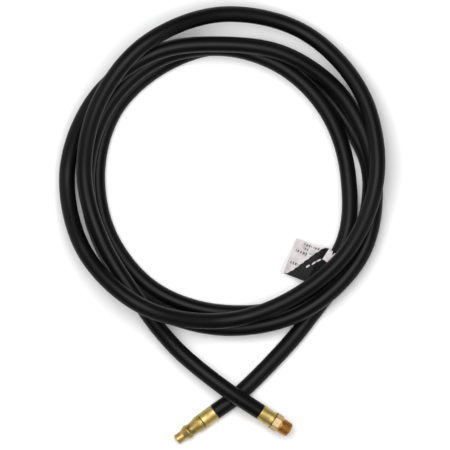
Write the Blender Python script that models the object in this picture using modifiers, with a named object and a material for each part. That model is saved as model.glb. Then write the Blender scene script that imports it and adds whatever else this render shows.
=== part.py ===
"""A gas hose assembly, wound by hand into a loose coil that lies flat on the ground.

A three-layer rubber hose carries a crimped brass pipe-thread fitting on one end, a crimped brass
quick-connect plug on the other, and a folded film tag. Units are metres, +Z is up, the ground is z = 0,
and the origin is under the middle of the whole assembly. The open side, where both ends leave the coil,
faces -Y.
"""
import math

import bmesh
import bpy
import numpy as np
from mathutils import Matrix, Vector

MM = 0.001
COLLECTION = "gas_hose_assembly"
CUTTERS = "gas_hose_cutters"

# Clearance between pieces that touch on the real hose.
GAP = 0.3 * MM

# Hose: a 3/8 in bore, with a cover, a braid and a liner one inside the other.
HOSE_OD = 17.5 * MM
HOSE_BORE = 9.5 * MM
COVER_WALL = 1.45 * MM
BRAID_WALL = 0.5 * MM
TUBE_RESOLUTION = 2
TUBE_SIDES = 4 + 2 * TUBE_RESOLUTION
TUBE_POINTS = 81
LEAD = 8 * MM

# Crimp ferrules, one on each end of the hose.
FERRULE_LENGTH = 16.5 * MM
FERRULE_WALL = 1.4 * MM
FERRULE_END_WALL = 1.5 * MM
FERRULE_CHAMFER = 0.4 * MM

# Barbed stems, the hidden part of both fittings.
STEM_BORE = 5.2 * MM
STEM_REACH = 4 * MM
STEM_NECK_RADIUS = 5.0 * MM
BARB_COUNT = 3
BARB_DEPTH = 0.5 * MM

# Pipe-thread fitting: an 11/16 in hexagon and a 3/8 in taper thread of 18 turns to the inch.
HEX_FLATS = 17.5 * MM
HEX_LENGTH = 8.9 * MM
HEX_CHAMFER = 0.9 * MM
THREAD_LENGTH = 12.6 * MM
THREAD_RADIUS = 8.5 * MM
THREAD_PITCH = 25.4 * MM / 18
THREAD_DEPTH = 0.75 * MM
THREAD_TAPER = 1 / 32
THREAD_END_CHAMFER = 1.0 * MM
THREAD_BORE = 9.0 * MM
THREAD_BORE_DEPTH = 10 * MM

# Quick-connect plug.
PLUG_NOSE_RADIUS = 5.4 * MM
PLUG_NOSE_LENGTH = 9.2 * MM
PLUG_BEAD_RADIUS = 8.2 * MM
PLUG_BEAD_START = 15.0 * MM
PLUG_BEAD_LENGTH = 1.4 * MM
PLUG_NECK_RADIUS = 6.6 * MM
PLUG_NECK_START = 18.8 * MM
PLUG_NECK_LENGTH = 2.9 * MM
PLUG_BODY_RADIUS = 8.7 * MM
PLUG_BODY_START = 30.5 * MM
PLUG_LENGTH = 35.2 * MM
PLUG_CHAMFER = 0.5 * MM
PLUG_BORE = 6.8 * MM
PLUG_BORE_DEPTH = 12 * MM

# Film tag, folded round the hose and stuck to itself as a flag.
TAG_WIDTH = 41 * MM
TAG_FLAG = 34 * MM
TAG_THICKNESS = 0.5 * MM
TAG_SKEW_DEG = 13.0
TAG_AT = 2976 * MM
TAG_CORNER_ROOM = 2.4 * MM

TURN_STEPS = 24

# Route of the hose's centre line, in millimetres. It starts at the pipe-thread end, goes clockwise round
# the coil seen from above, and ends at the plug. Each row of the coil is one turn: distances from the
# coil's centre, and heights, every 30 degrees from the side that faces -Y. Height 0 is a stretch that lies
# on the ground, with its centre line half a hose above it.
COIL_CENTRE = (0, 60)
COIL_STEP_DEG = 30.0
COIL_RADII = (
    (172, 152, 151, 155, 164, 173, 178, 176, 170, 163, 158, 163),
    (171, 174, 170, 161, 150, 140, 147, 157, 167, 178, 177, 171),
    (166, 154, 148, 145, 142, 136, 133, 133, 138, 154, 164, 154),
    (149, 142, 137, 136, 134, 138, 138, 144, 162, 170, 188),
)
COIL_HEIGHTS = (
    (38, 44, 47, 60, 63, 38, 21, 35, 49, 45, 39, 39),
    (61, 43, 21, 41, 45, 46, 41, 27, 28, 28, 28, 19),
    (20, 25, 26, 27, 27, 28, 27, 26, 21, 22, 15, 0),
    (0, 0, 0, 0, 0, 0, 0, 0, 0, 0, 0),
)
THREAD_TAIL = ((42, -203, 24), (4, -178, 30), (-32, -150, 28), (-58, -125, 30))
PLUG_TAIL = ((58, -145, 0), (18.5, -184, 0), (-8, -203.6, 0))
CURVE_STEPS = 24


# Sizes that follow from the ones above.
COVER_INNER = HOSE_OD / 2 - COVER_WALL
BRAID_OUTER = COVER_INNER - GAP
BRAID_INNER = BRAID_OUTER - BRAID_WALL
LINER_OUTER = BRAID_INNER - GAP
LINER_INNER = HOSE_BORE / 2
FERRULE_INNER = BRAID_OUTER + GAP + 0.05 * MM
FERRULE_OUTER = FERRULE_INNER + FERRULE_WALL
HOSE_END = FERRULE_LENGTH - FERRULE_END_WALL - 0.5 * MM
NECK_START = HOSE_END + GAP
SHOULDER = FERRULE_LENGTH + GAP
BARB_RADIUS = LINER_INNER * math.cos(math.pi / TUBE_SIDES) - GAP
TAG_INNER = HOSE_OD / 2 + GAP + 0.05 * MM


def coil_route():
    """The route's own points: both tails, and the coil from its radii and heights."""
    points = list(THREAD_TAIL)
    station = 0
    for radii, heights in zip(COIL_RADII, COIL_HEIGHTS):
        for radius, height in zip(radii, heights):
            station += 1
            angle = math.radians(COIL_STEP_DEG * station)
            x = COIL_CENTRE[0] - radius * math.sin(angle)
            y = COIL_CENTRE[1] - radius * math.cos(angle)
            points.append((x, y, height))
    points.extend(PLUG_TAIL)
    route = np.array(points, dtype=float) * MM
    route[:, 2] = np.maximum(route[:, 2], HOSE_OD / 2)
    return route


def smooth_curve(points):
    """A Catmull-Rom curve through the points, never lower than the hose lies on the ground."""
    first = 2 * points[0] - points[1]
    last = 2 * points[-1] - points[-2]
    chain = np.vstack([first, points, last])
    t = np.linspace(0.0, 1.0, CURVE_STEPS, endpoint=False)[:, None]
    stretches = []
    for a, b, c, d in zip(chain, chain[1:], chain[2:], chain[3:]):
        linear = (c - a) * t
        square = (2 * a - 5 * b + 4 * c - d) * t ** 2
        cube = (3 * b - a - 3 * c + d) * t ** 3
        stretches.append(0.5 * (2 * b + linear + square + cube))
    stretches.append(points[-1:])
    curve = np.vstack(stretches)
    curve[:, 2] = np.maximum(curve[:, 2], HOSE_OD / 2)
    return curve


def distances_along(curve):
    """Distance from the curve's start to each of its points."""
    steps = np.linalg.norm(np.diff(curve, axis=0), axis=1)
    return np.concatenate([[0.0], np.cumsum(steps)])


def points_at(curve, places):
    """Points of the curve at the given distances from its start."""
    along = distances_along(curve)
    return np.stack([np.interp(places, along, curve[:, axis]) for axis in range(3)], axis=1)


def unit(vector):
    return vector / np.linalg.norm(vector)


CURVE = smooth_curve(coil_route())
HOSE_LENGTH = distances_along(CURVE)[-1]
THREAD_MOUTH = CURVE[0]
THREAD_AXIS = unit(CURVE[0] - CURVE[1])
PLUG_MOUTH = CURVE[-1]
PLUG_AXIS = unit(CURVE[-1] - CURVE[-2])


def tube_points(reach):
    """Points for a tube that ends a reach past both ferrules' mouths, straight where the stems are."""
    places = np.linspace(LEAD, HOSE_LENGTH - LEAD, TUBE_POINTS - 2)
    inside = points_at(CURVE, places)
    inside[0] = THREAD_MOUTH - THREAD_AXIS * LEAD
    inside[-1] = PLUG_MOUTH - PLUG_AXIS * LEAD
    start = THREAD_MOUTH + THREAD_AXIS * reach
    end = PLUG_MOUTH + PLUG_AXIS * reach
    return np.vstack([start, inside, end])


def clear_scene():
    for item in list(bpy.data.objects):
        bpy.data.objects.remove(item, do_unlink=True)


def new_collection(name):
    collection = bpy.data.collections.new(name)
    bpy.context.scene.collection.children.link(collection)
    return collection


def finish_material(name, colour, roughness, metallic=0.0):
    material = bpy.data.materials.new(name)
    material.use_nodes = True
    shader = material.node_tree.nodes["Principled BSDF"]
    shader.inputs["Base Color"].default_value = (*colour, 1.0)
    shader.inputs["Roughness"].default_value = roughness
    shader.inputs["Metallic"].default_value = metallic
    material.diffuse_color = (*colour, 1.0)
    return material


def mesh_object(name, mesh, collection, material=None):
    item = bpy.data.objects.new(name, mesh)
    collection.objects.link(item)
    if material is not None:
        mesh.materials.append(material)
    return item


def mark_cutter(item):
    item.hide_render = True
    item.display_type = "WIRE"
    return item


def combine(item, other, operation):
    """Adds an exact Boolean modifier to item."""
    modifier = item.modifiers.new(operation.lower(), "BOOLEAN")
    modifier.operation = operation
    modifier.solver = "EXACT"
    modifier.object = other


def frame_on(mouth, axis):
    """A placement at a ferrule's mouth: local +Z points out of the hose, local +Y up."""
    out = Vector(axis)
    side = Vector((0.0, 0.0, 1.0)).cross(out).normalized()
    up = out.cross(side)
    turn = Matrix((side, up, out)).transposed().to_4x4()
    return Matrix.Translation(Vector(mouth)) @ turn


def tube(name, radius, reach, collection, material=None):
    """A solid tube along the route, made a closed mesh."""
    points = tube_points(reach)
    data = bpy.data.curves.new(name + "_line", "CURVE")
    data.dimensions = "3D"
    data.bevel_depth = radius
    data.bevel_resolution = TUBE_RESOLUTION
    data.use_fill_caps = True
    line = data.splines.new("POLY")
    line.points.add(len(points) - 1)
    line.points.foreach_set("co", np.column_stack([points, np.ones(len(points))]).ravel())
    source = bpy.data.objects.new(name + "_line", data)
    collection.objects.link(source)
    bpy.context.view_layer.update()
    evaluated = source.evaluated_get(bpy.context.evaluated_depsgraph_get())
    mesh = bpy.data.meshes.new_from_object(evaluated)
    mesh.name = name
    body = bmesh.new()
    body.from_mesh(mesh)
    bmesh.ops.remove_doubles(body, verts=body.verts, dist=0.01 * MM)
    bmesh.ops.recalc_face_normals(body, faces=body.faces)
    body.to_mesh(mesh)
    body.free()
    mesh.materials.clear()
    item = mesh_object(name, mesh, collection, material)
    item.matrix_world = source.matrix_world
    bpy.data.objects.remove(source, do_unlink=True)
    bpy.data.curves.remove(data)
    return item


def hollow_tube(name, outer, inner, reach, parts, cutters, material):
    """A tube with an open bore: the bore's cutter runs past both ends."""
    item = tube(name, outer, reach, parts, material)
    bore = mark_cutter(tube(name + "_bore", inner, reach + 2 * MM, cutters))
    combine(item, bore, "DIFFERENCE")
    item.data.shade_smooth()
    return item


def turned(name, profile, place, collection, material=None):
    """A closed profile of (radius, height) pairs turned round local Z, outer side first, top to bottom."""
    mesh = bpy.data.meshes.new(name)
    count = len(profile)
    corners = [(radius, 0.0, height) for radius, height in profile]
    edges = [(index, (index + 1) % count) for index in range(count)]
    mesh.from_pydata(corners, edges, [])
    item = mesh_object(name, mesh, collection, material)
    item.matrix_world = place
    screw = item.modifiers.new("turn", "SCREW")
    screw.axis = "Z"
    screw.angle = 2 * math.pi
    screw.steps = TURN_STEPS
    screw.render_steps = TURN_STEPS
    screw.use_merge_vertices = True
    screw.merge_threshold = 0.01 * MM
    return item


def primitive(name, build, place, collection, material=None):
    """A closed primitive that build adds to an empty bmesh, at a placement."""
    body = bmesh.new()
    build(body)
    mesh = bpy.data.meshes.new(name)
    body.to_mesh(mesh)
    body.free()
    item = mesh_object(name, mesh, collection, material)
    item.matrix_world = place
    return item


def ferrule(name, place, collection, material):
    """A crimped sleeve, open at the mouth and closed to a hole at the fitting."""
    hole = STEM_NECK_RADIUS + GAP
    profile = [
        (FERRULE_OUTER - FERRULE_CHAMFER, FERRULE_LENGTH),
        (FERRULE_OUTER, FERRULE_LENGTH - FERRULE_CHAMFER),
        (FERRULE_OUTER, FERRULE_CHAMFER),
        (FERRULE_OUTER - FERRULE_CHAMFER, 0.0),
        (FERRULE_INNER, 0.0),
        (FERRULE_INNER, FERRULE_LENGTH - FERRULE_END_WALL),
        (hole, FERRULE_LENGTH - FERRULE_END_WALL),
        (hole, FERRULE_LENGTH),
    ]
    return turned(name, profile, place, collection, material)


def stem_profile():
    """The outer side of a barbed stem, from its neck down to its tip, then the tip's bore edge."""
    root = BARB_RADIUS - BARB_DEPTH
    pitch = (NECK_START + STEM_REACH) / (BARB_COUNT + 1)
    profile = [
        (STEM_NECK_RADIUS, NECK_START),
        (root, NECK_START),
    ]
    for index in range(BARB_COUNT):
        crest = NECK_START - pitch * (index + 1)
        profile.append((root, crest))
        profile.append((BARB_RADIUS, crest))
        profile.append((root, crest - pitch * 0.7))
    profile.append((root, -STEM_REACH))
    profile.append((STEM_BORE / 2, -STEM_REACH))
    return profile


def bore_profile(end, bore, depth):
    """The inner side above the stem: a cone from the stem's bore out to a wider bore, then to the end."""
    step = (bore - STEM_BORE) / 2
    return [
        (STEM_BORE / 2, end - depth - step),
        (bore / 2, end - depth),
        (bore / 2, end),
    ]


def thread_profile(bottom):
    """The outer side of the taper thread from its end face down to the hexagon, as rings at its pitch."""
    top = bottom + THREAD_LENGTH
    radius = THREAD_RADIUS - THREAD_TAPER * THREAD_LENGTH
    profile = [
        (radius - THREAD_END_CHAMFER, top),
        (radius, top - THREAD_END_CHAMFER),
    ]
    grooves = int((THREAD_LENGTH - THREAD_END_CHAMFER) / THREAD_PITCH)
    for index in range(grooves):
        crest = top - THREAD_END_CHAMFER - THREAD_PITCH * index
        radius = THREAD_RADIUS - THREAD_TAPER * (crest - bottom)
        profile.append((radius - THREAD_DEPTH, crest - THREAD_PITCH * 0.5))
        profile.append((radius + THREAD_TAPER * THREAD_PITCH, crest - THREAD_PITCH))
    return profile


def chamfered_hexagon(bottom, hole, place, cutters):
    """A hexagonal ring with its corners turned off at both ends, one flat facing local +Y."""
    corner = HEX_FLATS / 2 / math.cos(math.pi / 6)

    def build(body):
        lift = Matrix.Translation((0.0, 0.0, bottom + HEX_LENGTH / 2))
        flat_up = Matrix.Rotation(math.radians(30), 4, "Z")
        bmesh.ops.create_cone(
            body,
            cap_ends=True,
            segments=6,
            radius1=corner,
            radius2=corner,
            depth=HEX_LENGTH,
            matrix=lift @ flat_up,
        )

    item = mark_cutter(primitive("thread_hexagon", build, place, cutters))
    slope = math.tan(math.radians(30))
    past = 1 * MM
    top = bottom + HEX_LENGTH
    small = corner - HEX_CHAMFER - past / slope
    large = corner + past / slope
    drop = HEX_CHAMFER * slope + past
    outline = [
        (small, top + past),
        (large, top - drop),
        (large, bottom + drop),
        (small, bottom - past),
        (hole, bottom - past),
        (hole, top + past),
    ]
    half_step = Matrix.Rotation(math.pi / TURN_STEPS, 4, "Z")
    lathe = mark_cutter(turned("hexagon_chamfer", outline, place @ half_step, cutters))
    combine(item, lathe, "INTERSECT")
    return item


def thread_fitting(place, parts, cutters, material):
    """The pipe-thread fitting: barbed stem, hexagon and taper thread in one piece, bored through."""
    top = SHOULDER + HEX_LENGTH
    end = top + THREAD_LENGTH
    root = THREAD_RADIUS - THREAD_DEPTH
    profile = thread_profile(top)
    profile.append((root, top - HEX_LENGTH / 4))
    profile.append((STEM_NECK_RADIUS, top - HEX_LENGTH / 4))
    profile.extend(stem_profile())
    profile.extend(bore_profile(end, THREAD_BORE, THREAD_BORE_DEPTH))
    item = turned("thread_fitting", profile, place, parts, material)
    hole = (STEM_BORE / 2 + STEM_NECK_RADIUS) / 2
    combine(item, chamfered_hexagon(SHOULDER, hole, place, cutters), "UNION")
    return item


def plug_fitting(place, parts, material):
    """The quick-connect plug: barbed stem, body, neck, bead and nose in one piece, bored through."""
    tip = SHOULDER + PLUG_LENGTH
    outline = [
        (PLUG_NOSE_RADIUS - PLUG_CHAMFER, 0.0),
        (PLUG_NOSE_RADIUS, PLUG_CHAMFER),
        (PLUG_NOSE_RADIUS, PLUG_NOSE_LENGTH),
        (PLUG_BEAD_RADIUS, PLUG_BEAD_START),
        (PLUG_BEAD_RADIUS, PLUG_BEAD_START + PLUG_BEAD_LENGTH),
        (PLUG_NECK_RADIUS, PLUG_NECK_START),
        (PLUG_NECK_RADIUS, PLUG_NECK_START + PLUG_NECK_LENGTH),
        (PLUG_BODY_RADIUS, PLUG_BODY_START),
        (PLUG_BODY_RADIUS, PLUG_LENGTH - PLUG_CHAMFER),
        (PLUG_BODY_RADIUS - PLUG_CHAMFER, PLUG_LENGTH),
    ]
    profile = [(radius, tip - depth) for radius, depth in outline]
    profile.append((STEM_NECK_RADIUS, SHOULDER))
    profile.extend(stem_profile())
    profile.extend(bore_profile(tip, PLUG_BORE, PLUG_BORE_DEPTH))
    return turned("plug_fitting", profile, place, parts, material)


def tag_place():
    """A placement on the hose's straight stretch nearest the tag: +Z along it, +X into the coil."""
    points = tube_points(0.0)
    middles = (points[:-1] + points[1:]) / 2
    wanted = points_at(CURVE, [TAG_AT])[0]
    index = int(np.argmin(np.linalg.norm(middles - wanted, axis=1)))
    stretch = points[index + 1] - points[index]
    room = max(0.0, (np.linalg.norm(stretch) - TAG_WIDTH) / 2 - TAG_CORNER_ROOM)
    slide = np.clip((wanted - middles[index]) @ unit(stretch), -room, room)
    along = Vector(unit(stretch))
    middle = Vector(middles[index] + unit(stretch) * slide)
    centre = Vector((COIL_CENTRE[0] * MM, COIL_CENTRE[1] * MM, middle.z))
    inward = centre - middle
    inward = (inward - along * inward.dot(along)).normalized()
    turn = Matrix((inward, along.cross(inward), along)).transposed().to_4x4()
    return Matrix.Translation(middle) @ turn


def rod(name, radius, length, place, collection, material=None):
    """A solid cylinder along local Z, its middle at the placement."""

    def build(body):
        bmesh.ops.create_cone(
            body, cap_ends=True, segments=TURN_STEPS, radius1=radius, radius2=radius, depth=length
        )

    return primitive(name, build, place, collection, material)


def film_tag(place, parts, cutters, material):
    """A film loop round the hose whose two ends are stuck together as a flat flag, a little askew."""
    outer = TAG_INNER + TAG_THICKNESS
    reach = outer + TAG_FLAG
    item = rod("film_tag", outer, TAG_WIDTH, place, parts, material)

    def build(body):
        size = Matrix.Diagonal((reach, TAG_THICKNESS, TAG_WIDTH, 1.0))
        skew = Matrix.Rotation(math.radians(-TAG_SKEW_DEG), 4, "Y")
        shift = Matrix.Translation((reach / 2, 0.0, 0.0))
        bmesh.ops.create_cube(body, size=1.0, matrix=skew @ shift @ size)

    flag = mark_cutter(primitive("tag_flag", build, place, cutters))
    hose = mark_cutter(rod("tag_bore", TAG_INNER, 2 * TAG_WIDTH, place, cutters))
    combine(item, flag, "UNION")
    combine(item, hose, "DIFFERENCE")
    return item


def main():
    clear_scene()
    parts = new_collection(COLLECTION)
    cutters = new_collection(CUTTERS)
    cover_rubber = finish_material("black_rubber_cover", (0.012, 0.012, 0.013), 0.55)
    braid_yarn = finish_material("polyester_braid", (0.55, 0.53, 0.48), 0.8)
    liner_rubber = finish_material("liner_rubber", (0.02, 0.02, 0.02), 0.6)
    sleeve_brass = finish_material("ferrule_brass", (0.78, 0.62, 0.24), 0.25, 1.0)
    thread_brass = finish_material("thread_brass", (0.72, 0.5, 0.2), 0.3, 1.0)
    plug_brass = finish_material("plug_brass", (0.7, 0.56, 0.22), 0.25, 1.0)
    film = finish_material("tag_film", (0.72, 0.71, 0.7), 0.4)

    hollow_tube("hose_cover", HOSE_OD / 2, COVER_INNER, -GAP, parts, cutters, cover_rubber)
    hollow_tube("hose_braid", BRAID_OUTER, BRAID_INNER, HOSE_END, parts, cutters, braid_yarn)
    hollow_tube("hose_liner", LINER_OUTER, LINER_INNER, HOSE_END, parts, cutters, liner_rubber)

    thread_end = frame_on(THREAD_MOUTH, THREAD_AXIS)
    plug_end = frame_on(PLUG_MOUTH, PLUG_AXIS)
    ferrule("thread_ferrule", thread_end, parts, sleeve_brass)
    ferrule("plug_ferrule", plug_end, parts, sleeve_brass)
    thread_fitting(thread_end, parts, cutters, thread_brass)
    plug_fitting(plug_end, parts, plug_brass)
    film_tag(tag_place(), parts, cutters, film)


main()
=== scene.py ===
"""A coiled gas hose with a pipe-thread end, a quick-connect plug and a film tag."""

import math

import bpy
import numpy as np
from bpy.props import FloatProperty, FloatVectorProperty, IntProperty, PointerProperty
from bpy.types import Operator, Panel, PropertyGroup
from mathutils import Matrix


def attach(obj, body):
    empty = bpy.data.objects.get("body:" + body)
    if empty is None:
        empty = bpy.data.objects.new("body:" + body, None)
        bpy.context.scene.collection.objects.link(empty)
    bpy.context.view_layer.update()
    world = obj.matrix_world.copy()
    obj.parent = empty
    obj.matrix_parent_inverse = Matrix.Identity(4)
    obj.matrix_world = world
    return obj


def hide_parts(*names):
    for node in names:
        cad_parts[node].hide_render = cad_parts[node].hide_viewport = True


bl_info = {
    "name": "Coiled gas hose",
    "version": (1, 0, 0),
    "blender": (4, 5, 0),
    "location": "3D View > Sidebar > Gas hose",
    "description": "Builds a coiled rubber gas hose with brass ends and a film tag",
    "category": "Add Mesh",
}

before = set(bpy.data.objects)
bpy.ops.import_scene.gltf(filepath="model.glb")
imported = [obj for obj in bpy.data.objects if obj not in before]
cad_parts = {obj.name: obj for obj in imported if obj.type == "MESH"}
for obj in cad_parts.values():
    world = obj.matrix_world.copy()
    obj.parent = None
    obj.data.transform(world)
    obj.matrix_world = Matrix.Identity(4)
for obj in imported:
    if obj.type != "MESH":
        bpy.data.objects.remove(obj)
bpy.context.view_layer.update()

MM = 0.001
BODY = "root"
OWN_PLACE = "own_place"
INK = "ink"
# Name of the attribute that brings painted shade into the recesses and seams of the brass pieces.
PAINTED_SHADE = "painted_shade"
BAR_STOCK = "bar_stock"
UPPER_PLY = "upper_ply"

# The hose's route in millimetres: the coil's centre, and the radius and height of each of its stations, a
# fixed angle apart; then the points of the two tails.
COIL_CENTRE = (0, 60)
COIL_STEP_DEG = 30.0
COIL_RADII = (
    (172, 152, 151, 155, 164, 173, 178, 176, 170, 163, 158, 163),
    (171, 174, 170, 161, 150, 140, 147, 157, 167, 178, 177, 171),
    (166, 154, 148, 145, 142, 136, 133, 133, 138, 154, 164, 154),
    (149, 142, 137, 136, 134, 138, 138, 144, 162, 170, 188),
)
COIL_HEIGHTS = (
    (38, 44, 47, 60, 63, 38, 21, 35, 49, 45, 39, 39),
    (61, 43, 21, 41, 45, 46, 41, 27, 28, 28, 28, 19),
    (20, 25, 26, 27, 27, 28, 27, 26, 21, 22, 15, 0),
    (0, 0, 0, 0, 0, 0, 0, 0, 0, 0, 0),
)
THREAD_TAIL = ((42, -203, 24), (4, -178, 30), (-32, -150, 28), (-58, -125, 30))
PLUG_TAIL = ((58, -145, 0), (18.5, -184, 0), (-8, -203.6, 0))
CURVE_STEPS = 24

# Places inside the crimped ends, measured from a ferrule's mouth towards the fitting's tip.
GAP = 0.3 * MM
FERRULE_LENGTH = 16.5 * MM
FERRULE_END_WALL = 1.5 * MM
FERRULE_HOLE = 5.3 * MM
HOSE_END = FERRULE_LENGTH - FERRULE_END_WALL - 0.5 * MM
SHOULDER = FERRULE_LENGTH + GAP
STEM_REACH = 4 * MM
STEM_BORE_RADIUS = 2.6 * MM
STEM_NECK_RADIUS = 5.0 * MM
BARB_RADIUS = 4.09 * MM
BARB_DEPTH = 0.5 * MM
BARB_COUNT = 3

# Strands of the braid in each way round the hose, and their spacing along it.
STRANDS_ROUND = 16.0
STRAND_SPACING = 2.4 * MM


# ---------------------------------------------------------------- sizes and colours

def linear(code):
    """Linear colour of an sRGB hex code: c / 12.92 below 0.04045, else ((c + 0.055) / 1.055) ^ 2.4."""
    channels = np.array([int(code[i:i + 2], 16) for i in (1, 3, 5)]) / 255
    return tuple(np.where(channels <= 0.04045, channels / 12.92, ((channels + 0.055) / 1.055) ** 2.4))


def colour_property(name, description, code):
    return FloatVectorProperty(
        name=name, description=description, subtype="COLOR", size=3, min=0, max=1, default=linear(code)
    )


def length_property(name, description, size):
    return FloatProperty(name=name, description=description, default=size, min=0, unit="LENGTH")


class GasHoseSizes(PropertyGroup):
    """Sizes of the hose assembly that a user would change."""

    hose_diameter: length_property("Hose diameter", "Outside diameter of the rubber cover", 17.5 * MM)
    hose_bore: length_property("Hose bore", "Inside diameter of the liner", 9.5 * MM)
    cover_wall: length_property("Cover wall", "Thickness of the rubber cover", 1.45 * MM)
    braid_wall: length_property("Braid wall", "Thickness of the yarn braid", 0.5 * MM)
    crimp_depth: length_property("Crimp depth", "How deep the jaws pressed the ferrules", 0.13 * MM)
    thread_pitch: length_property("Thread pitch", "Crest to crest of the pipe thread", 25.4 * MM / 18)
    thread_depth: length_property("Thread depth", "Crest to root of the pipe thread", 0.75 * MM)
    tag_width: length_property("Tag width", "Width of the film tag along the hose", 41 * MM)
    tag_flag: length_property("Tag flag", "How far the tag's flag stands off the hose", 36 * MM)
    tag_at: length_property("Tag place", "Along the hose, from the thread end to the tag", 2976 * MM)
    tag_droop: length_property("Tag droop", "How far the flag's free edge hangs down", 3 * MM)
    hose_sides: IntProperty(name="Hose sides", description="Points round the hose", default=40, min=12)
    hose_rings: IntProperty(name="Hose rings", description="Rings along the hose", default=1400, min=300)


class GasHoseColours(PropertyGroup):
    """Colours of the hose assembly's materials and of the studio."""

    rubber: colour_property("Rubber", "Matt black of the cover", "#040405")
    rubber_haze: colour_property("Rubber haze", "Where handling has dulled the cover", "#0d0d0e")
    yarn: colour_property("Yarn", "Polyester braid", "#cbc5b6")
    liner: colour_property("Liner", "Inner tube", "#1a1b1d")
    ferrule: colour_property("Ferrule brass", "Yellow brass of the crimped ferrules", "#cfba7a")
    ferrule_shade: colour_property("Ferrule tarnish", "Olive tarnish on the ferrules", "#9a8444")
    thread: colour_property("Thread brass", "Amber brass of the pipe thread", "#e4b368")
    thread_shade: colour_property("Thread tarnish", "Brown tarnish in the thread", "#a37230")
    hexagon: colour_property("Hexagon brass", "Pale bar-stock brass of the hexagon", "#bfa67a")
    plug: colour_property("Plug brass", "Greenish yellow brass of the plug", "#c3aa6c")
    plug_shade: colour_property("Plug tarnish", "Olive tarnish on the plug", "#8d7539")
    film: colour_property("Film", "Greyish white film of the tag's upper ply", "#cfcbcb")
    film_cloud: colour_property("Film cloud", "Where the upper ply is rubbed and pinkish", "#b3a7a9")
    film_back: colour_property("Film back", "Paler film of the tag's lower ply", "#dcdbd9")
    ink: colour_property("Ink", "Black print on the tag", "#0e0e10")
    floor: colour_property("Floor", "Pale studio floor", "#fbfbfb")
    daylight: colour_property("Daylight", "Light that comes from all round", "#ffffff")


# ---------------------------------------------------------------- curves, grids and meshes

def unit(vector):
    return vector / np.linalg.norm(vector, axis=-1, keepdims=True)


def smooth_step(low, high, value):
    """0 below low, 1 above high, and 3t^2 - 2t^3 between them."""
    t = np.clip((value - low) / (high - low), 0.0, 1.0)
    return t * t * (3 - 2 * t)


def distances_along(points):
    """Distance from the first point to each point, along the line."""
    steps = np.linalg.norm(np.diff(points, axis=0), axis=1)
    return np.concatenate([[0.0], np.cumsum(steps)])


def points_at(points, places):
    """Points of a line at the given distances along it, between its own points in proportion."""
    along = distances_along(points)
    return np.stack([np.interp(places, along, points[:, axis]) for axis in range(3)], axis=1)


def route_points(radius):
    """Tail, coil and tail: station k stands at 30 degrees times k, at its own radius and height."""
    radii = np.concatenate(COIL_RADII)
    heights = np.concatenate(COIL_HEIGHTS)
    angle = np.radians(COIL_STEP_DEG * (1 + np.arange(len(radii))))
    x = COIL_CENTRE[0] - radii * np.sin(angle)
    y = COIL_CENTRE[1] - radii * np.cos(angle)
    coil = np.stack([x, y, heights], axis=1)
    route = np.vstack([THREAD_TAIL, coil, PLUG_TAIL]) * MM
    route[:, 2] = np.maximum(route[:, 2], radius)
    return route


def smooth_curve(points, radius):
    """Catmull-Rom: half of 2b + (c - a)t + (2a - 5b + 4c - d)t^2 + (3b - a - 3c + d)t^3.

    No point is lower than the hose's radius, which is where it lies on the ground.
    """
    chain = np.vstack([2 * points[0] - points[1], points, 2 * points[-1] - points[-2]])
    a, b, c, d = (chain[i:len(chain) - 3 + i, None, :] for i in range(4))
    t = np.linspace(0.0, 1.0, CURVE_STEPS, endpoint=False)[None, :, None]
    cubes = 2 * b + (c - a) * t + (2 * a - 5 * b + 4 * c - d) * t ** 2 + (3 * b - a - 3 * c + d) * t ** 3
    curve = np.vstack([0.5 * cubes.reshape(-1, 3), points[-1:]])
    curve[:, 2] = np.maximum(curve[:, 2], radius)
    return curve


def hose_curve(sizes):
    radius = sizes.hose_diameter / 2
    return smooth_curve(route_points(radius), radius)


def end_place(mouth, axis):
    """Origin and axes of a crimped end: Z out of the hose, X level, Y upwards."""
    level = unit(np.cross([0.0, 0.0, 1.0], axis))
    return mouth, np.stack([level, np.cross(axis, level), axis])


def thread_place(sizes):
    curve = hose_curve(sizes)
    return end_place(curve[0], unit(curve[0] - curve[1]))


def plug_place(sizes):
    curve = hose_curve(sizes)
    return end_place(curve[-1], unit(curve[-1] - curve[-2]))


def path_of(sizes, reach, count):
    """Evenly spaced points of the hose's line, which runs straight on past both mouths by reach."""
    curve = hose_curve(sizes)
    if reach > 0:
        start = curve[0] + unit(curve[0] - curve[1]) * reach
        end = curve[-1] + unit(curve[-1] - curve[-2]) * reach
        curve = np.vstack([start, curve, end])
    total = distances_along(curve)[-1]
    trim = max(0.0, -reach)
    return points_at(curve, np.linspace(trim, total - trim, count))


def level_axes(path):
    """Two axes across a path: one level (the direction crossed with the vertical), one square to both."""
    forward = unit(np.gradient(path, axis=0))
    level = unit(np.cross(forward, [0.0, 0.0, 1.0]))
    return level, np.cross(level, forward)


def grid_faces(rows, columns):
    """Quads of a grid that closes on itself both ways: each cell with its next row and column."""
    row, column = np.meshgrid(np.arange(rows), np.arange(columns), indexing="ij")
    below, beside = (row + 1) % rows, (column + 1) % columns
    first, last = row * columns, below * columns
    return np.stack([first + column, last + column, last + beside, first + beside], axis=-1).reshape(-1, 4)


def mesh_piece(name, points, faces, own_places, material, sharp_deg=32.0):
    """A mesh object at the origin, with the place each point would have on the bench as an attribute."""
    mesh = bpy.data.meshes.new(name)
    mesh.from_pydata(points.reshape(-1, 3).tolist(), [], faces.tolist())
    mesh.update()
    attribute = mesh.attributes.new(OWN_PLACE, "FLOAT_VECTOR", "POINT")
    attribute.data.foreach_set("vector", own_places.reshape(-1).astype(np.float32))
    mesh.shade_smooth()
    mesh.set_sharp_from_angle(angle=math.radians(sharp_deg))
    mesh.materials.append(material)
    piece = bpy.data.objects.new(name, mesh)
    bpy.context.scene.collection.objects.link(piece)
    return piece


def add_number(piece, name, values):
    attribute = piece.data.attributes.new(name, "FLOAT", "POINT")
    attribute.data.foreach_set("value", values.reshape(-1).astype(np.float32))


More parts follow.
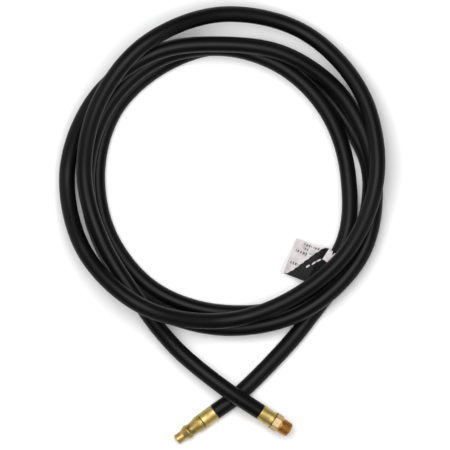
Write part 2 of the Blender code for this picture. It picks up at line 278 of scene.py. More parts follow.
def hollow_hose(name, path, outer, inner, sides, material, unevenness=0.0):
    """A tube wall: centre + r (cos a level + sin a up), outwards along the path and back along its bore.

    r is the radius times 1 + unevenness (long soft waves, and a little oval across the bend).
    """
    level, up = level_axes(path)
    angle = np.linspace(0, 2 * math.pi, sides, endpoint=False)
    around = level[:, None] * np.cos(angle)[None, :, None] + up[:, None] * np.sin(angle)[None, :, None]
    along = distances_along(path)
    waves = np.sin(along / (61 * MM)) + np.sin(along / (23 * MM) + 1.3) * 0.6
    waves = waves + np.sin(along / (9.7 * MM)) * 0.25
    oval = np.cos(2 * angle)[None, :] * (0.6 + 0.4 * np.sin(along / (83 * MM)))[:, None]
    radius = outer * (1 + unevenness * (0.4 * waves[:, None] - oval))
    back = np.arange(len(path) - 1, -1, -4)
    back[-1] = 0
    outside = path[:, None] + around * radius[..., None]
    inside = path[back][:, None] + around[back] * inner
    points = np.concatenate([outside, inside])
    size = np.concatenate([np.full(len(path), outer), np.full(len(back), inner)])[:, None]
    place = np.concatenate([along, along[back]])[:, None]
    own = np.stack([size * np.cos(angle), size * np.sin(angle), place + 0 * angle], axis=-1)
    return mesh_piece(name, points, grid_faces(len(points), sides), own, material, 60.0)


def rounded(outline, radius, steps=4):
    """Each corner b of a closed outline becomes (1-t)^2 a + 2t(1-t) b + t^2 c, a and c a cut-back away."""
    corner = np.asarray(outline, dtype=float)
    before = np.roll(corner, 1, axis=0) - corner
    after = np.roll(corner, -1, axis=0) - corner
    shorter = np.minimum(np.linalg.norm(before, axis=1), np.linalg.norm(after, axis=1))
    cut = np.minimum(radius, 0.4 * shorter)[:, None]
    start = corner + unit(before) * cut
    end = corner + unit(after) * cut
    t = np.linspace(0, 1, steps)[None, :, None]
    arcs = (1 - t) ** 2 * start[:, None] + 2 * t * (1 - t) * corner[:, None] + t ** 2 * end[:, None]
    return arcs.reshape(-1, 2)


def subdivided(outline, step):
    """Every point of a closed outline, and points between them where they lie more than a step apart."""
    closed = np.vstack([outline, outline[:1]])
    along = distances_along(closed)
    extra = np.arange(0, along[-1], step)
    extra = extra[np.abs(extra[:, None] - along[None, :]).min(axis=1) > 0.3 * step]
    places = np.sort(np.concatenate([along[:-1], extra]))
    return np.stack([np.interp(places, along, closed[:, axis]) for axis in range(2)], axis=1)


def turned_piece(name, radius, height, place, material):
    """A surface round its own Z: (r cos a, r sin a, z), with r and z given for each row and angle."""
    origin, axes = place
    rows, columns = radius.shape
    angle = np.linspace(0, 2 * math.pi, columns, endpoint=False)[None, :]
    own = np.stack([radius * np.cos(angle), radius * np.sin(angle), height + 0 * angle], axis=-1)
    return mesh_piece(name, origin + own @ axes, grid_faces(rows, columns), own, material)


def barbed_stem(neck_at):
    """Outer side of the stem inside the hose, from neck to tip: barbs that rise and fall at one pitch."""
    root = BARB_RADIUS - BARB_DEPTH
    pitch = (neck_at + STEM_REACH) / (BARB_COUNT + 1)
    crest = neck_at - pitch * np.arange(1, BARB_COUNT + 1)
    barbs = np.stack(
        [
            np.stack([np.full(BARB_COUNT, root), crest], axis=1),
            np.stack([np.full(BARB_COUNT, BARB_RADIUS), crest], axis=1),
            np.stack([np.full(BARB_COUNT, root), crest - pitch * 0.7], axis=1),
        ],
        axis=1,
    ).reshape(-1, 2)
    ends = [(root, -STEM_REACH), (STEM_BORE_RADIUS, -STEM_REACH)]
    return np.vstack([[(STEM_NECK_RADIUS, neck_at), (root, neck_at)], barbs, ends])


# ---------------------------------------------------------------- materials

def add_node(tree, kind, values=None, links=None, **settings):
    """Adds one node with its settings, its inputs' values and the sockets that feed its inputs."""
    item = tree.nodes.new(kind)
    for name, value in settings.items():
        setattr(item, name, value)
    for name, value in (values or {}).items():
        item.inputs[name].default_value = value
    for name, socket in (links or {}).items():
        tree.links.new(socket, item.inputs[name])
    return item


def new_material(name, **shader_values):
    """A material with its own shader, whose even values stand on the shader's sockets."""
    material = bpy.data.materials.new(name)
    material.use_nodes = True
    tree = material.node_tree
    shader = tree.nodes["Principled BSDF"]
    for socket, value in shader_values.items():
        shader.inputs[socket.replace("_", " ")].default_value = value
    return material, tree, shader


def noise_at(tree, spacing, detail=3.0, roughness=0.55):
    """Noise in the piece's own place: its features are about the three given sizes across, in metres."""
    place = add_node(tree, "ShaderNodeAttribute", attribute_name=OWN_PLACE)
    scaled = add_node(
        tree,
        "ShaderNodeMapping",
        values={"Scale": [1 / size for size in spacing]},
        links={"Vector": place.outputs["Vector"]},
    )
    return add_node(
        tree,
        "ShaderNodeTexNoise",
        values={"Scale": 1.0, "Detail": detail, "Roughness": roughness},
        links={"Vector": scaled.outputs["Vector"]},
    )


def colour_mix(tree, share, first, second):
    """Colour first where share is 0 and second where it is 1; each is a colour or a socket."""
    mix = add_node(tree, "ShaderNodeMix", data_type="RGBA", links={0: share})
    for index, colour in ((6, first), (7, second)):
        if isinstance(colour, bpy.types.NodeSocket):
            tree.links.new(colour, mix.inputs[index])
        else:
            mix.inputs[index].default_value = (*colour, 1.0)
    return mix.outputs[2]


def ranged(tree, socket, low, high, to_low, to_high):
    """A socket's value stretched from low..high to to_low..to_high, and held at the ends."""
    node = add_node(
        tree,
        "ShaderNodeMapRange",
        values={"From Min": low, "From Max": high, "To Min": to_low, "To Max": to_high},
        links={"Value": socket},
    )
    return node.outputs["Result"]


def bumped(tree, height, depth, below=None):
    """A normal raised by a height of 0 to 1 times a depth in metres, over another bump."""
    links = {"Height": height}
    if below is not None:
        links["Normal"] = below
    node = add_node(tree, "ShaderNodeBump", values={"Strength": 1.0, "Distance": depth}, links=links)
    return node.outputs["Normal"]


def extruded_rubber(colours):
    """Matt black synthetic rubber cover, extruded and vulcanised.

    The die leaves faint lines along the hose and the cure a fine orange peel; handling leaves a grey haze
    in long patches. The lines are about 0.9 mm apart in life and drawn 1.6 mm apart, so that they show.
    """
    material, tree, shader = new_material("extruded_black_rubber", IOR=1.52, Specular_IOR_Level=0.13)
    haze = noise_at(tree, (34 * MM, 34 * MM, 110 * MM), 4.0)
    lines = noise_at(tree, (1.6 * MM, 1.6 * MM, 140 * MM), 2.0)
    peel = noise_at(tree, (0.7 * MM, 0.7 * MM, 0.9 * MM), 2.0)
    share = ranged(tree, haze.outputs["Fac"], 0.42, 0.72, 0.0, 0.75)
    base = colour_mix(tree, share, tuple(colours.rubber), tuple(colours.rubber_haze))
    tree.links.new(base, shader.inputs["Base Color"])
    tree.links.new(ranged(tree, haze.outputs["Fac"], 0.3, 0.7, 0.38, 0.52), shader.inputs["Roughness"])
    ridges = bumped(tree, lines.outputs["Fac"], 0.05 * MM)
    tree.links.new(bumped(tree, peel.outputs["Fac"], 0.03 * MM, ridges), shader.inputs["Normal"])
    return material


def braided_yarn(colours):
    """Bright polyester yarn, spiral-braided over the liner: two sets of strands that cross, 2.4 mm apart.

    Each set is a sine of the distance along the hose plus or minus its angle's share of the lay. The yarn is
    mixed towards a darker copy of itself where the strands dip, a painted shade between the strands.
    """
    material, tree, shader = new_material("braided_polyester_yarn", Roughness=0.75, IOR=1.55)
    place = add_node(tree, "ShaderNodeAttribute", attribute_name=OWN_PLACE)
    parts = add_node(tree, "ShaderNodeSeparateXYZ", links={"Vector": place.outputs["Vector"]})
    angle = add_node(
        tree, "ShaderNodeMath", operation="ARCTAN2", links={0: parts.outputs["Y"], 1: parts.outputs["X"]}
    )
    turns = add_node(
        tree, "ShaderNodeMath", operation="MULTIPLY", values={1: STRANDS_ROUND}, links={0: angle.outputs[0]}
    )
    steps = add_node(
        tree,
        "ShaderNodeMath",
        operation="MULTIPLY",
        values={1: 2 * math.pi / STRAND_SPACING},
        links={0: parts.outputs["Z"]},
    )
    strands = []
    for way in ("ADD", "SUBTRACT"):
        phase = add_node(
            tree, "ShaderNodeMath", operation=way, links={0: steps.outputs[0], 1: turns.outputs[0]}
        )
        strands.append(add_node(tree, "ShaderNodeMath", operation="SINE", links={0: phase.outputs[0]}))
    height = add_node(
        tree,
        "ShaderNodeMath",
        operation="MAXIMUM",
        links={0: strands[0].outputs[0], 1: strands[1].outputs[0]},
    )
    # Painted shade: the lower the braid's height, the more of the darker yarn copy is mixed in.
    shade = ranged(tree, height.outputs[0], -0.2, 0.9, 0.55, 0.0)
    shaded_yarn = tuple(0.35 * part for part in colours.yarn)
    tree.links.new(colour_mix(tree, shade, tuple(colours.yarn), shaded_yarn), shader.inputs["Base Color"])
    tree.links.new(bumped(tree, height.outputs[0], 0.12 * MM), shader.inputs["Normal"])
    return material


def smooth_liner(colours):
    """Black nitrile liner, extruded over a mandrel: smoother than the cover, with a faint sheen."""
    material, tree, shader = new_material("mandrel_made_nitrile", IOR=1.52)
    cloud = noise_at(tree, (9 * MM, 9 * MM, 40 * MM))
    share = ranged(tree, cloud.outputs["Fac"], 0.35, 0.7, 0.0, 0.3)
    base = colour_mix(tree, share, tuple(colours.liner), tuple(colours.rubber_haze))
    tree.links.new(base, shader.inputs["Base Color"])
    tree.links.new(ranged(tree, cloud.outputs["Fac"], 0.3, 0.7, 0.3, 0.4), shader.inputs["Roughness"])
    return material


def worked_brass(name, clean, tarnish, marks, painted_shade=None, roughness=(0.46, 0.58), bar=None):
    """Brass with tarnish in soft clouds, and the marks that its making left, of the three given sizes.

    The optional darker colour is painted shade, which the piece's attribute for it brings into recesses and
    seams; bar is a colour for its bright bar stock.
    """
    material, tree, shader = new_material(name, Metallic=1.0)
    cloud = noise_at(tree, (5 * MM, 5 * MM, 7 * MM), 4.0, 0.6)
    lines = noise_at(tree, marks, 3.0, 0.6)
    share = ranged(tree, cloud.outputs["Fac"], 0.4, 0.72, 0.0, 0.85)
    base = colour_mix(tree, share, clean, tarnish)
    streak = ranged(tree, lines.outputs["Fac"], 0.4, 0.75, 0.0, 0.4)
    base = colour_mix(tree, streak, base, tarnish)
    if bar is not None:
        bright = add_node(tree, "ShaderNodeAttribute", attribute_name=BAR_STOCK)
        base = colour_mix(tree, bright.outputs["Fac"], base, bar)
    # Painted shade: the piece's attribute mixes the darker colour in at recesses and seams.
    if painted_shade is not None:
        shade_attribute = add_node(tree, "ShaderNodeAttribute", attribute_name=PAINTED_SHADE)
        base = colour_mix(tree, shade_attribute.outputs["Fac"], base, painted_shade)
    tree.links.new(base, shader.inputs["Base Color"])
    dulled = ranged(tree, cloud.outputs["Fac"], 0.3, 0.75, roughness[0], roughness[1])
    tree.links.new(dulled, shader.inputs["Roughness"])
    fine = bumped(tree, lines.outputs["Fac"], 0.015 * MM)
    tree.links.new(bumped(tree, cloud.outputs["Fac"], 0.05 * MM, fine), shader.inputs["Normal"])
    return material


def printed_film(colours):
    """Greyish white vinyl film, printed black and folded on itself: satin, faintly wrinkled, cloudy."""
    material, tree, shader = new_material("printed_vinyl_film", IOR=1.5, Specular_IOR_Level=0.12)
    cloud = noise_at(tree, (11 * MM, 11 * MM, 11 * MM), 3.0)
    wrinkle = noise_at(tree, (6 * MM, 6 * MM, 15 * MM), 2.0)
    printed = add_node(tree, "ShaderNodeAttribute", attribute_name=INK)
    upper = add_node(tree, "ShaderNodeAttribute", attribute_name=UPPER_PLY)
    share = ranged(tree, cloud.outputs["Fac"], 0.4, 0.68, 0.0, 1.0)
    base = colour_mix(tree, share, tuple(colours.film), tuple(colours.film_cloud))
    base = colour_mix(tree, upper.outputs["Fac"], tuple(colours.film_back), base)
    base = colour_mix(tree, printed.outputs["Fac"], base, tuple(colours.ink))
    tree.links.new(base, shader.inputs["Base Color"])
    tree.links.new(ranged(tree, cloud.outputs["Fac"], 0.3, 0.7, 0.44, 0.56), shader.inputs["Roughness"])
    tree.links.new(bumped(tree, wrinkle.outputs["Fac"], 0.25 * MM), shader.inputs["Normal"])
    return material


def painted_floor(colours):
    """White matt studio paint, rolled: an even pale ground with a faint stipple."""
    material, tree, shader = new_material("rolled_white_paint", Roughness=0.85, IOR=1.5)
    place = add_node(tree, "ShaderNodeTexCoord")
    stipple = add_node(
        tree,
        "ShaderNodeTexNoise",
        values={"Scale": 1 / (9 * MM)},
        links={"Vector": place.outputs["Object"]},
    )
    pale = tuple(0.985 * part for part in colours.floor)
    base = colour_mix(tree, stipple.outputs["Fac"], tuple(colours.floor), pale)
    tree.links.new(base, shader.inputs["Base Color"])
    return material


# ---------------------------------------------------------------- operators

class GASHOSE_OT_stage(Operator):
    """Adds the pale floor, the soft lights and the camera straight above the coil."""

    bl_idname = "gashose.stage"
    bl_label = "Stage"

    CAMERA_HEIGHT = 12.0
    FRAME_WIDTH = 0.495
    FRAME_CENTRE = (3.3 * MM, 2 * MM)
    SENSOR = 36.0
    FLOOR_SIZE = 8.0
    # (name, place, width, power in watts) of each soft box; all of them face the coil
    LIGHTS = (
        ("overhead_box", (-0.1, 0.15, 2.2), 1.6, 58.0),
        ("left_box", (-2.4, 0.6, 1.0), 1.2, 10.0),
        ("right_box", (2.2, -1.2, 1.0), 1.2, 6.0),
    )
    WORLD_STRENGTH = 0.16

    def execute(self, context):
        colours = context.scene.gas_hose_colours
        scene = context.scene
        half = self.FLOOR_SIZE / 2
        corners = [(-half, -half, 0), (half, -half, 0), (half, half, 0), (-half, half, 0)]
        mesh = bpy.data.meshes.new("studio_floor")
        mesh.from_pydata(corners, [], [(0, 1, 2, 3)])
        mesh.materials.append(painted_floor(colours))
        floor = bpy.data.objects.new("studio_floor", mesh)
        scene.collection.objects.link(floor)
        for name, place, width, power in self.LIGHTS:
            self.add_light(name, place, width, power)
        world = bpy.data.worlds.new("daylight")
        world.use_nodes = True
        background = world.node_tree.nodes["Background"]
        background.inputs["Color"].default_value = (*colours.daylight, 1.0)
        background.inputs["Strength"].default_value = self.WORLD_STRENGTH
        scene.world = world
        scene.view_settings.view_transform = "Standard"
        camera = bpy.data.objects.new("camera", bpy.data.cameras.new("camera"))
        camera.data.sensor_width = self.SENSOR
        camera.data.lens = self.SENSOR * self.CAMERA_HEIGHT / self.FRAME_WIDTH
        camera.data.clip_end = 4 * self.CAMERA_HEIGHT
        camera.location = (*self.FRAME_CENTRE, self.CAMERA_HEIGHT)
        scene.collection.objects.link(camera)
        scene.camera = camera
        return {"FINISHED"}

    def add_light(self, name, place, width, power):
        """A square soft box that faces the middle of the coil and that the camera doesn't see."""
        light = bpy.data.lights.new(name, "AREA")
        light.shape = "SQUARE"
        light.size = width
        light.energy = power
        box = bpy.data.objects.new(name, light)
        away = unit(np.array(place) - np.array([0.0, 0.0, 0.03]))
        level = unit(np.cross([0.0, 1.0, 0.0], away))
        matrix = np.eye(4)
        matrix[:3] = np.stack([level, np.cross(away, level), away, place], axis=1)
        box.matrix_world = Matrix(matrix)
        box.visible_camera = False
        bpy.context.scene.collection.objects.link(box)


class GASHOSE_OT_hose(Operator):
    """Adds the rubber cover, the yarn braid under it and the liner, each along the whole coiled route."""

    bl_idname = "gashose.hose"
    bl_label = "Hose"

    UNEVENNESS = 0.004

    def execute(self, context):
        sizes = context.scene.gas_hose_sizes
        colours = context.scene.gas_hose_colours
        outer = sizes.hose_diameter / 2
        braid = outer - sizes.cover_wall - GAP
        liner = braid - sizes.braid_wall - GAP
        sides = sizes.hose_sides
        cover_path = path_of(sizes, -GAP, sizes.hose_rings)
        inner_path = path_of(sizes, HOSE_END, sizes.hose_rings)
        cover = hollow_hose(
            "hose_rubber_cover",
            cover_path,
            outer,
            outer - sizes.cover_wall,
            sides,
            extruded_rubber(colours),
            self.UNEVENNESS,
        )
        yarn = hollow_hose(
            "hose_yarn_braid", inner_path, braid, braid - sizes.braid_wall, sides, braided_yarn(colours)
        )
        tube = hollow_hose(
            "hose_inner_liner", inner_path, liner, sizes.hose_bore / 2, sides, smooth_liner(colours)
        )
        for piece, stands_for, slot in (
            (cover, "hose_cover", "cover_rubber"),
            (yarn, "hose_braid", "braid_yarn"),
            (tube, "hose_liner", "liner_rubber"),
        ):
            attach(piece, BODY)
            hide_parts(stands_for)
        return {"FINISHED"}


class GASHOSE_OT_ferrules(Operator):
    """Adds the two crimped brass ferrules."""

    bl_idname = "gashose.ferrules"
    bl_label = "Ferrules"

    COLUMNS = 160
    OUTER = 8.75 * MM
    INNER = 7.35 * MM
    ROUNDING = 0.45 * MM
    JAWS = 8
    CRIMP_FROM = 1.8 * MM
    CRIMP_TO = 13.6 * MM
    CRIMP_RAMP = 0.9 * MM
    RIDGE_HALF_WIDTH = math.radians(3.6)

    def execute(self, context):
        sizes = context.scene.gas_hose_sizes
        colours = context.scene.gas_hose_colours
        # Yellow brass tube, drawn and then crimped: long soft streaks along it and a dull olive tarnish.
        brass = worked_brass(
            "drawn_and_crimped_brass",
            tuple(colours.ferrule),
            tuple(colours.ferrule_shade),
            (1.1 * MM, 1.1 * MM, 26 * MM),
            roughness=(0.48, 0.58),
        )
        outline = [
            (self.OUTER, FERRULE_LENGTH),
            (self.OUTER, 0.0),
            (self.INNER, 0.0),
            (self.INNER, FERRULE_LENGTH - FERRULE_END_WALL),
            (FERRULE_HOLE, FERRULE_LENGTH - FERRULE_END_WALL),
            (FERRULE_HOLE, FERRULE_LENGTH),
        ]
        rows = subdivided(rounded(outline, self.ROUNDING, 5), 0.4 * MM)
        angle = np.linspace(0, 2 * math.pi, self.COLUMNS, endpoint=False)
        for name, place in (("thread_ferrule", thread_place(sizes)), ("plug_ferrule", plug_place(sizes))):
            radius, height = self.crimped(rows, angle, sizes.crimp_depth)
            piece = turned_piece(name + "_crimped", radius, height, place, brass)
            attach(piece, BODY)
            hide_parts(name)
        return {"FINISHED"}

    def crimped(self, rows, angle, depth):
        """r = R - depth x zone x (1 - ridge).

        zone is 1 between the crimp's ends, and ridge a bell curve at each gap between two jaws.
        """
        radius, height = rows[:, :1], rows[:, 1:]
        ramp = self.CRIMP_RAMP
        zone = smooth_step(self.CRIMP_FROM, self.CRIMP_FROM + ramp, height)
        zone = zone * (1 - smooth_step(self.CRIMP_TO - ramp, self.CRIMP_TO, height))
        zone = zone * (radius > self.OUTER - self.ROUNDING)
        share = (angle * self.JAWS / (2 * math.pi) + 0.5) % 1.0 - 0.5
        ridge = np.exp(-((share * 2 * math.pi / self.JAWS / self.RIDGE_HALF_WIDTH) ** 2))[None, :]
        return radius - depth * zone * (1 - ridge), np.broadcast_to(height, (len(rows), len(angle)))


class GASHOSE_OT_thread_fitting(Operator):
    """Adds the pipe-thread fitting: barbed stem, chamfered hexagon and cut taper thread, bored through."""

    bl_idname = "gashose.thread_fitting"
    bl_label = "Thread fitting"

    COLUMNS = 120
    HEX_FLATS = 17.5 * MM
    HEX_LENGTH = 8.9 * MM
    HEX_TURNED_BACK = 0.9 * MM
    HEX_EDGE = 0.18 * MM
    CHAMFER_DEG = 30
    CORNER_FLATTENING = 0.22 * MM
    THREAD_LENGTH = 12.6 * MM
    THREAD_RADIUS = 8.5 * MM
    THREAD_TAPER = 1 / 32
    END_CHAMFER = 1.1 * MM
    RUN_OUT = 2.2 * MM
    BORE_RADIUS = 4.5 * MM
    BORE_DEPTH = 10 * MM
    ROWS_PER_PITCH = 12

    def execute(self, context):
        sizes = context.scene.gas_hose_sizes
        colours = context.scene.gas_hose_colours
        # Hexagon bar stock turned on a lathe: fine rings round it, drawn 0.35 mm apart so that they show, a
        # pale hexagon, an amber thread, and painted shade in its thread roots, on its end chamfer and in the
        # seam at its shoulder.
        brass = worked_brass(
            "machined_brass_thread",
            tuple(colours.thread),
            tuple(colours.thread_shade),
            (9 * MM, 9 * MM, 0.35 * MM),
            # colour of the painted shade: the thread's tarnish at three tenths
            painted_shade=tuple(0.3 * part for part in colours.thread_shade),
            bar=tuple(colours.hexagon),
        )
        angle = np.linspace(0, 2 * math.pi, self.COLUMNS, endpoint=False)[None, :]
        thread_r, thread_z, painted_thread_shade = self.thread_rows(sizes, angle)
        hexagon_r, hexagon_z = self.hexagon_rows(angle)
        inside_r, inside_z = self.inside_rows(angle)
        radius = np.vstack([thread_r, hexagon_r, inside_r])
        height = np.vstack([thread_z, hexagon_z, inside_z])
        piece = turned_piece("thread_fitting_brass", radius, height, thread_place(sizes), brass)
        # Painted shade: darker in the thread roots and on the end chamfer, and in a ring at the shoulder, in
        # the seam against the ferrule.
        painted_shade = np.zeros_like(radius)
        painted_shade[: len(painted_thread_shade)] = painted_thread_shade
        painted_shade += np.exp(-(((height - SHOULDER) / (0.6 * MM)) ** 2)) * 0.8
        pale = np.zeros_like(radius)
        pale[len(thread_r):len(thread_r) + len(hexagon_r)] = 1.0
        add_number(piece, PAINTED_SHADE, painted_shade)
        add_number(piece, BAR_STOCK, pale)
        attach(piece, BODY)
        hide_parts("thread_fitting")
        return {"FINISHED"}

    def thread_rows(self, sizes, angle):
        """r = taper radius - depth x (1 - v), v a flattened V of z / pitch - a / 2 pi; a chamfer caps it."""
        bottom = SHOULDER + self.HEX_LENGTH
        top = bottom + self.THREAD_LENGTH
        count = int(self.THREAD_LENGTH / sizes.thread_pitch * self.ROWS_PER_PITCH)
        height = np.linspace(top, bottom + 0.02 * MM, count)[:, None]
        v = np.abs(2 * ((height / sizes.thread_pitch - angle / (2 * math.pi)) % 1.0) - 1)
        v = np.clip((v - 0.1) / 0.78, 0.0, 1.0)
        fade = smooth_step(0.0, self.RUN_OUT, height - bottom)
        outer = self.THREAD_RADIUS - self.THREAD_TAPER * (height - bottom)
        radius = outer - sizes.thread_depth * (1 - v) * fade
        end_radius = self.THREAD_RADIUS - self.THREAD_TAPER * self.THREAD_LENGTH
        cap = end_radius - self.END_CHAMFER + (top - height)
        cut = cap < radius
        # Painted shade in the thread roots, fading out with the thread; the end chamfer gets an even painted
        # shade.
        painted_thread_shade = (1 - v) * fade * 0.45
        return np.minimum(radius, cap), height + 0 * angle, np.where(cut, 0.25, painted_thread_shade)

    def hexagon_rows(self, angle):
        """r = flats / 2 / cos(angle to the nearest flat), the corners turned off by a 30 degree cone."""
        to_flat = (angle + math.pi / 2) % (math.pi / 3)
        to_flat = np.minimum(to_flat, math.pi / 3 - to_flat)
        corner = self.HEX_FLATS / 2 / math.cos(math.pi / 6)
        full = np.minimum(self.HEX_FLATS / 2 / np.cos(to_flat), corner - self.CORNER_FLATTENING)
        turned = corner - self.HEX_TURNED_BACK
        drop = np.maximum(full - turned, 0.0) * math.tan(math.radians(self.CHAMFER_DEG))
        face = np.minimum(full, turned)
        bottom, top = SHOULDER, SHOULDER + self.HEX_LENGTH
        edge = self.HEX_EDGE
        rows_r = [face - 2 * edge, face - edge * 0.3, full - edge * 0.15, full]
        rows_z = [top + 0 * angle, top - edge * 0.3 + 0 * angle, top - drop - edge * 0.6, top - drop - edge]
        shares = np.linspace(0.0, 1.0, 8)[1:-1, None]
        upper, lower = rows_z[-1], bottom + drop + edge
        flank_z = upper * (1 - shares) + lower * shares
        radius = np.vstack(rows_r + [full + 0 * shares] + rows_r[::-1])
        mirrored = [bottom + top - z for z in rows_z[::-1]]
        return radius, np.vstack(rows_z + [flank_z] + mirrored)

    def inside_rows(self, angle):
        """The neck and barbed stem, then the bore up to the chamfered end."""
        end = SHOULDER + self.HEX_LENGTH + self.THREAD_LENGTH
        mouth = self.THREAD_RADIUS - self.THREAD_TAPER * self.THREAD_LENGTH - self.END_CHAMFER
        step = self.BORE_RADIUS - STEM_BORE_RADIUS
        soft = 0.3 * MM
        rows = np.vstack([
            [(STEM_NECK_RADIUS, SHOULDER)],
            barbed_stem(HOSE_END + GAP),
            [
                (STEM_BORE_RADIUS, end - self.BORE_DEPTH - step),
                (self.BORE_RADIUS, end - self.BORE_DEPTH),
                (self.BORE_RADIUS, end - soft),
                (self.BORE_RADIUS + soft, end),
                (mouth - 0.2 * MM, end),
            ],
        ])
        return rows[:, :1] + 0 * angle, rows[:, 1:] + 0 * angle


class GASHOSE_OT_plug_fitting(Operator):
    """Adds the quick-connect plug: barbed stem, body, neck, bead and nose, turned as one and bored."""

    bl_idname = "gashose.plug_fitting"
    bl_label = "Plug fitting"

    COLUMNS = 128
    LENGTH = 35.2 * MM
    ROUNDING = 0.7 * MM
    BORE_RADIUS = 3.4 * MM
    BORE_DEPTH = 12 * MM
    # (radius, distance from the tip) of the nose, the bead, the neck and the body, in millimetres
    OUTLINE = (
        (5.4, 0.0), (5.4, 9.2), (8.2, 15.0), (8.2, 16.4),
        (6.6, 18.8), (6.6, 21.7), (8.7, 30.5), (8.7, 35.2),
    )

    def execute(self, context):
        sizes = context.scene.gas_hose_sizes
        colours = context.scene.gas_hose_colours
        # Free-cutting brass turned from bar: fine rings round it, greenish tarnish, and painted shade in its
        # neck and in the seam at its shoulder.
        brass = worked_brass(
            "turned_brass_plug",
            tuple(colours.plug),
            tuple(colours.plug_shade),
            (9 * MM, 9 * MM, 0.35 * MM),
            # colour of the painted shade: the plug's tarnish at a little over a third
            painted_shade=tuple(0.35 * part for part in colours.plug_shade),
        )
        tip = SHOULDER + self.LENGTH
        step = self.BORE_RADIUS - STEM_BORE_RADIUS
        outside = np.array(self.OUTLINE) * MM
        outside[:, 1] = tip - outside[:, 1]
        outline = np.vstack([
            outside,
            [(STEM_NECK_RADIUS, SHOULDER)],
            barbed_stem(HOSE_END + GAP),
            [(STEM_BORE_RADIUS, tip - self.BORE_DEPTH - step), (self.BORE_RADIUS, tip - self.BORE_DEPTH)],
            [(self.BORE_RADIUS, tip)],
        ])
        rows = subdivided(rounded(outline, self.ROUNDING, 6), 0.8 * MM)
        angle = np.linspace(0, 2 * math.pi, self.COLUMNS, endpoint=False)[None, :]
        radius, height = rows[:, :1] + 0 * angle, rows[:, 1:] + 0 * angle
        piece = turned_piece("plug_fitting_brass", radius, height, plug_place(sizes), brass)
        from_tip = tip - height
        # Painted shade: darker round the neck between bead and body, and in the seam against the ferrule.
        waist = np.exp(-(((from_tip - 20.0 * MM) / (2.2 * MM)) ** 2)) * 0.45
        seam = np.exp(-(((from_tip - self.LENGTH) / (0.7 * MM)) ** 2)) * 0.9
        add_number(piece, PAINTED_SHADE, waist + seam)
        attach(piece, BODY)
        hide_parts("plug_fitting")
        return {"FINISHED"}


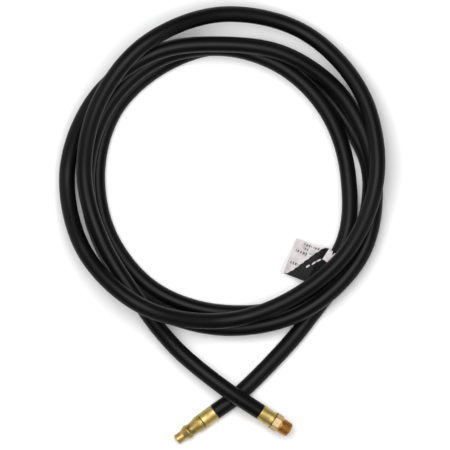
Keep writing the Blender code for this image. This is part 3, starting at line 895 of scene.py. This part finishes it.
class GASHOSE_OT_tag(Operator):
    """Adds the printed film tag: one strip wrapped round the hose, its ends stuck together as a flag."""

    bl_idname = "gashose.tag"
    bl_label = "Film tag"

    FILM = 0.2 * MM
    LOOP_RADIUS = 9.2 * MM
    JOIN_AT = 14.0 * MM
    SKEW_DEG = 15.0
    BACK_LONGER = 1.9 * MM
    BACK_SLANT = 1.5 * MM
    STEP = 0.4 * MM
    SPOT_LEAN_DEG = 53
    SPOT_LONG = 2.4
    SPOT_WIDE = 1.1
    # Centres of the light spots in the wedge, and rows of bars as (from, to, height, thickness, beat).
    SPOTS = ((22.6, 17.0), (27.4, 21.8), (30.8, 25.2))
    BARS = (
        (9.5, 27.5, 38.2, 2.6, 2.4),
        (11.5, 17.0, 33.6, 1.9, 2.9),
        (4.4, 18.6, 28.6, 4.2, 2.0),
        (19.6, 24.0, 30.4, 2.2, 2.9),
        (3.2, 12.2, 14.4, 3.2, 2.2),
    )

    def execute(self, context):
        sizes = context.scene.gas_hose_sizes
        colours = context.scene.gas_hose_colours
        curve = hose_curve(sizes)
        middle = points_at(curve, [sizes.tag_at])[0]
        ahead = points_at(curve, [sizes.tag_at + 4 * MM])[0]
        along = unit(middle - ahead)
        centre = np.array([COIL_CENTRE[0] * MM, COIL_CENTRE[1] * MM, middle[2]])
        inward = centre - middle
        inward = unit(inward - along * (inward @ along))
        axes = np.stack([inward, np.cross(along, inward), along])
        own, ink, upper = self.strip(sizes)
        rows, columns = own.shape[:2]
        row, column = np.meshgrid(np.arange(rows - 1), np.arange(columns - 1), indexing="ij")
        first = row * columns + column
        faces = np.stack([first, first + 1, first + columns + 1, first + columns], axis=-1).reshape(-1, 4)
        piece = mesh_piece("hose_film_tag", middle + own @ axes, faces, own, printed_film(colours), 180.0)
        add_number(piece, INK, ink)
        add_number(piece, UPPER_PLY, upper)
        wall = piece.modifiers.new("film", "SOLIDIFY")
        wall.thickness = self.FILM
        wall.offset = 0.0
        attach(piece, BODY)
        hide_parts("film_tag")
        return {"FINISHED"}

    def strip(self, sizes):
        """The strip's points, its print and its upper ply: flag inwards, round the hose, flag out again.

        Across the hose the line is free edge, join, tangent, circle, tangent, join, free edge. The flag turns
        by the skew angle as it leaves the loop, droops as the square of its reach and waves a little.
        """
        reach = self.LOOP_RADIUS + sizes.tag_flag
        touch = math.acos(self.LOOP_RADIUS / self.JOIN_AT)
        circle = np.linspace(touch, 2 * math.pi - touch, 60)
        ring = np.stack([np.cos(circle), np.sin(circle)], axis=1) * self.LOOP_RADIUS
        apart = 0.6 * self.FILM
        line = np.vstack([
            [(reach, apart), (self.JOIN_AT + 2 * MM, apart)],
            ring,
            [(self.JOIN_AT + 2 * MM, -apart), (reach + self.BACK_LONGER, -apart)],
        ])
        flat = np.column_stack([line, np.zeros(len(line))])
        total = distances_along(flat)[-1]
        places = np.linspace(0, total, int(total / self.STEP))
        section = points_at(flat, places)[:, :2]
        half = sizes.tag_width / 2
        width = np.linspace(-half, half, int(sizes.tag_width / self.STEP))
        x = np.repeat(section[:, :1], len(width), axis=1)
        y = np.repeat(section[:, 1:], len(width), axis=1)
        z = np.repeat(width[None, :], len(section), axis=0)
        far = np.clip((x - self.LOOP_RADIUS) / sizes.tag_flag, 0.0, 1.2)
        lower = np.repeat((places > total / 2)[:, None], len(width), axis=1)
        x = x - np.where(lower, self.BACK_SLANT * (z / half) * far ** 2, 0.0)
        turn = math.radians(self.SKEW_DEG) * smooth_step(self.LOOP_RADIUS, self.JOIN_AT + 6 * MM, x)
        turned_x = x * np.cos(turn) + z * np.sin(turn) * smooth_step(0.0, self.JOIN_AT, x)
        turned_z = z * np.cos(turn) - x * np.sin(turn)
        sag = -sizes.tag_droop * far ** 2
        wave = 0.8 * MM * far * np.sin(z / (11 * MM) + 0.7)
        ink = np.where(lower, 0.0, self.printing(x, z, half, reach))
        return np.stack([turned_x, y + sag + wave, turned_z], axis=-1), ink, 1.0 - lower

    def printing(self, x, z, half, reach):
        """How black the print is: a wedge u > 4 + 0.65 v - 3.8 exp(-v / 1.6), light spots and rows of bars.

        u and v are millimetres from the free edge and from the flag's lower corner.
        """
        u = (reach - x) / MM
        v = (z + half) / MM
        edge = 4.0 + 0.65 * v - 3.8 * np.exp(-v / 1.6) + 0.35 * np.sin(v * 1.1)
        wedge = (u > edge) & ((u < 33.0) | (v < 27.5))
        ink = wedge.astype(float)
        lean = math.radians(self.SPOT_LEAN_DEG)
        for spot_u, spot_v in self.SPOTS:
            ahead = (u - spot_u) * math.cos(lean) + (v - spot_v) * math.sin(lean)
            across = (v - spot_v) * math.cos(lean) - (u - spot_u) * math.sin(lean)
            inside = (ahead / self.SPOT_LONG) ** 2 + (across / self.SPOT_WIDE) ** 2 < 1
            ink = np.where(inside, 0.0, ink)
        for low, high, at, height, beat in self.BARS:
            dash = np.sin(u * beat) + 0.5 * np.sin(u * beat * 1.7 + at) > -0.25
            thick = height * (0.75 + 0.25 * np.sin(u * 1.9 + at))
            row = (u > low) & (u < high) & (np.abs(v - at) < thick / 2) & dash & ~wedge
            ink = np.where(row, 0.8, ink)
        return ink


class GASHOSE_OT_cord_facts(Operator):
    """Works out the hose's path between the mouths and the point where its thread end leaves, and keeps
    neither.
    """

    bl_idname = "gashose.cord_facts"
    bl_label = "Hose facts"

    ON_IT = (
        "plug_ferrule_crimped",
        "plug_fitting_brass",
        "hose_yarn_braid",
        "hose_inner_liner",
        "hose_film_tag",
    )

    def execute(self, context):
        sizes = context.scene.gas_hose_sizes
        path = path_of(sizes, -GAP, sizes.hose_rings)
        tuple(hose_curve(sizes)[0])
        return {"FINISHED"}


class GASHOSE_PT_panel(Panel):
    """Lists the sizes, the colours and the pieces in the sidebar."""

    bl_label = "Gas hose"
    bl_space_type = "VIEW_3D"
    bl_region_type = "UI"
    bl_category = "Gas hose"

    def draw(self, context):
        layout = self.layout
        for group in (context.scene.gas_hose_sizes, context.scene.gas_hose_colours):
            box = layout.box()
            for name in group.__annotations__:
                box.prop(group, name)
        for operator in OPERATORS:
            layout.operator(operator.bl_idname)


OPERATORS = (
    GASHOSE_OT_stage,
    GASHOSE_OT_hose,
    GASHOSE_OT_ferrules,
    GASHOSE_OT_thread_fitting,
    GASHOSE_OT_plug_fitting,
    GASHOSE_OT_tag,
    GASHOSE_OT_cord_facts,
)
CLASSES = (GasHoseSizes, GasHoseColours, *OPERATORS, GASHOSE_PT_panel)


def register():
    for item in CLASSES:
        bpy.utils.register_class(item)
    bpy.types.Scene.gas_hose_sizes = PointerProperty(type=GasHoseSizes)
    bpy.types.Scene.gas_hose_colours = PointerProperty(type=GasHoseColours)


def unregister():
    del bpy.types.Scene.gas_hose_colours
    del bpy.types.Scene.gas_hose_sizes
    for item in reversed(CLASSES):
        bpy.utils.unregister_class(item)


def main():
    register()
    bpy.ops.gashose.stage()
    bpy.ops.gashose.hose()
    bpy.ops.gashose.ferrules()
    bpy.ops.gashose.thread_fitting()
    bpy.ops.gashose.plug_fitting()
    bpy.ops.gashose.tag()
    bpy.ops.gashose.cord_facts()
    bpy.context.view_layer.update()


if __name__ == "__main__":
    main()
